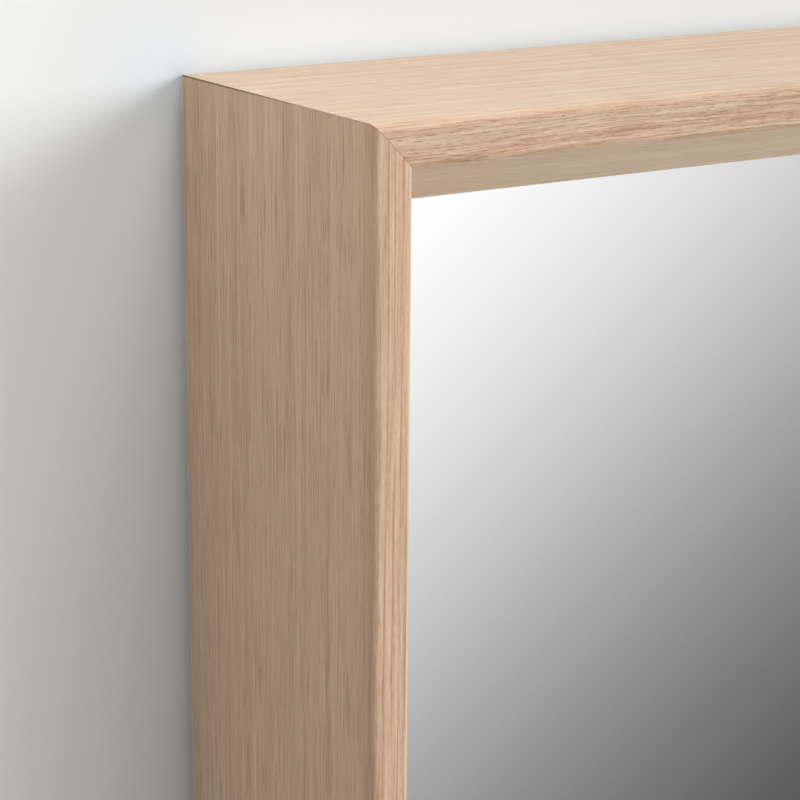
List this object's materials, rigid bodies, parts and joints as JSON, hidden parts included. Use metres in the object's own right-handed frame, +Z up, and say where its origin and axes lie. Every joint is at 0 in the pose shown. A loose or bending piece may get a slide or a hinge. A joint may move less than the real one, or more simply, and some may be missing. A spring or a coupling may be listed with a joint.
{
  "type": "full-length mirror",
  "caption": "Tall rectangular wall mirror in a deep mitred oak box frame with a narrow land, splayed inner face and keyhole hangers.",
  "frame": {"origin": "on the wall plane, midway between the round holes of the two keyhole hangers", "axes": "+X to the right as seen from the front, +Z up, -Y out of the wall towards the viewer"},
  "size_m": [0.6, 0.06, 1.6],
  "materials": {
    "oak": "pale oiled oak",
    "beech": "raw beech",
    "pine": "planed pine",
    "board": "raw fibre board",
    "mirror": "silvered float glass",
    "film": "grey vinyl film",
    "foam": "white foam tape",
    "block": "black rubber",
    "steel": "zinc plated steel"
  },
  "bodies": {
    "root": {"left_stile": "oak", "right_stile": "oak", "top_rail": "oak", "bottom_rail": "oak", "tongue_top_left": "beech", "tongue_top_right": "beech", "tongue_bottom_left": "beech", "tongue_bottom_right": "beech", "mirror_glass": "mirror", "safety_film": "film", "foam_tape": "foam", "setting_blocks": "block", "back_panel": "board", "batten_left": "pine", "batten_right": "pine", "batten_top": "pine", "batten_bottom": "pine", "batten_screws": "steel", "bracket_top_left": "steel", "bracket_top_right": "steel", "bracket_bottom_left": "steel", "bracket_bottom_right": "steel", "bracket_screws": "steel", "hanging_rail": "pine", "lower_rail": "pine", "rail_screws": "steel", "hanger_plate_left": "steel", "hanger_plate_right": "steel", "hanger_screws": "steel"}
  },
  "joints": []
}
